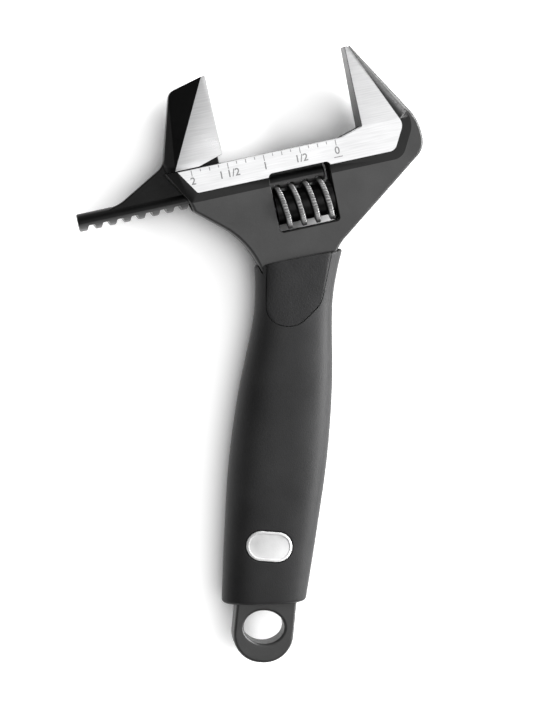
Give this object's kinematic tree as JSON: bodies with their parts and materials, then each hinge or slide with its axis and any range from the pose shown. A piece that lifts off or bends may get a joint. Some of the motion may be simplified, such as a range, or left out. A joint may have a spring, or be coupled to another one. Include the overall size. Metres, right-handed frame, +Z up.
{
  "type": "adjustable wrench",
  "caption": "Adjustable wrench with an extra-wide slim jaw, a worm-driven sliding jaw on a round rack, a two-part grip and a hang loop.",
  "frame": {"origin": "middle of the base of the wrench's box, lying flat on its back", "axes": "+X is the way the sliding jaw closes, +Y the way both jaws point, +Z up through the thickness"},
  "size_m": [0.1228, 0.2046, 0.0196],
  "materials": {
    "black_forging": "satin black phosphate on forged steel",
    "ground_steel": "surface-ground bright steel",
    "black_steel": "blackened, edges worn bright",
    "spring_steel": "plain steel",
    "hard_plastic": "fine moulded texture",
    "soft_cover": "soft matt thermoplastic rubber",
    "pale_plastic": "smooth matt"
  },
  "bodies": {
    "frame": {"body": "black_forging", "worm_pin": "spring_steel", "worm_spring": "spring_steel", "grip_core": "hard_plastic", "grip_cover": "soft_cover", "badge_front": "pale_plastic", "badge_back": "pale_plastic"},
    "jaw": {"movable_jaw": "ground_steel"},
    "knurl": {"worm": "black_steel"}
  },
  "joints": [
    {"name": "jaw_slide", "type": "slide", "parent": "frame", "child": "jaw", "axis": [1, 0, 0], "range_m": [0, 0.0489]},
    {"name": "worm_spin", "type": "hinge", "parent": "frame", "child": "knurl", "pos_m": [0.0165, 0.05256, 0.0098], "axis": [1, 0, 0], "range_deg": [-3525, 0]}
  ],
  "couplings": [
    {"joint": "worm_spin", "follows": "jaw_slide", "rad_per_m": -1256.6}
  ]
}
